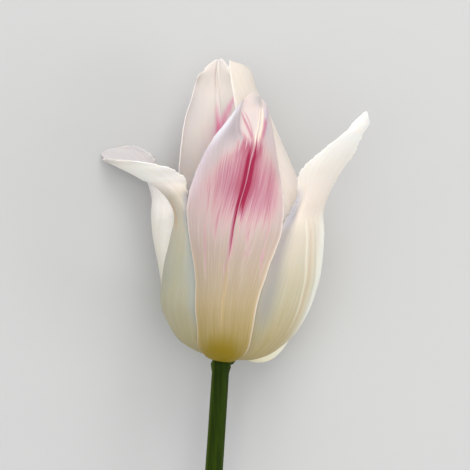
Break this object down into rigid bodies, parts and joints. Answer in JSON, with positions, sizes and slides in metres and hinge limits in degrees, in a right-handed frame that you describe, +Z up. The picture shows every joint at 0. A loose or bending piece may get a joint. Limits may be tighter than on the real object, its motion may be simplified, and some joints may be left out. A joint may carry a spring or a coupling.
{
  "type": "cut tulip",
  "caption": "Cut tulip lying on its back: a half-open goblet of pale tepals, the uppermost flamed crimson and some tips reaching out, on a bare green stem.",
  "frame": {"origin": "on the surface that the flower lies on, under the middle of its length and width", "axes": "+Y runs along the flower from the cut end of the stem to the tip of the bloom, +X to the right of the bloom as seen from above, +Z up, away from the surface"},
  "size_m": [0.0752, 0.2207, 0.0496],
  "materials": {
    "tepal_flamed": "satin petal, crimson flame on pale lilac white",
    "tepal_pale": "satin petal, cream white with a blue grey cast",
    "stem": "smooth green stalk with a faint bloom",
    "ovary": "smooth, pale green",
    "stigma": "velvety, cream yellow",
    "filament": "smooth, pale cream",
    "anther": "powdery, yellow ochre"
  },
  "bodies": {
    "root": {"tepal_front": "tepal_flamed", "tepal_left": "tepal_pale", "tepal_right": "tepal_pale", "tepal_back_left": "tepal_pale", "tepal_back_right": "tepal_pale", "tepal_back": "tepal_pale", "stem": "stem", "pistil_ovary": "ovary", "pistil_stigma": "stigma", "filament_1": "filament", "anther_1": "anther", "filament_2": "filament", "anther_2": "anther", "filament_3": "filament", "anther_3": "anther", "filament_4": "filament", "anther_4": "anther", "filament_5": "filament", "anther_5": "anther", "filament_6": "filament", "anther_6": "anther"}
  },
  "joints": []
}
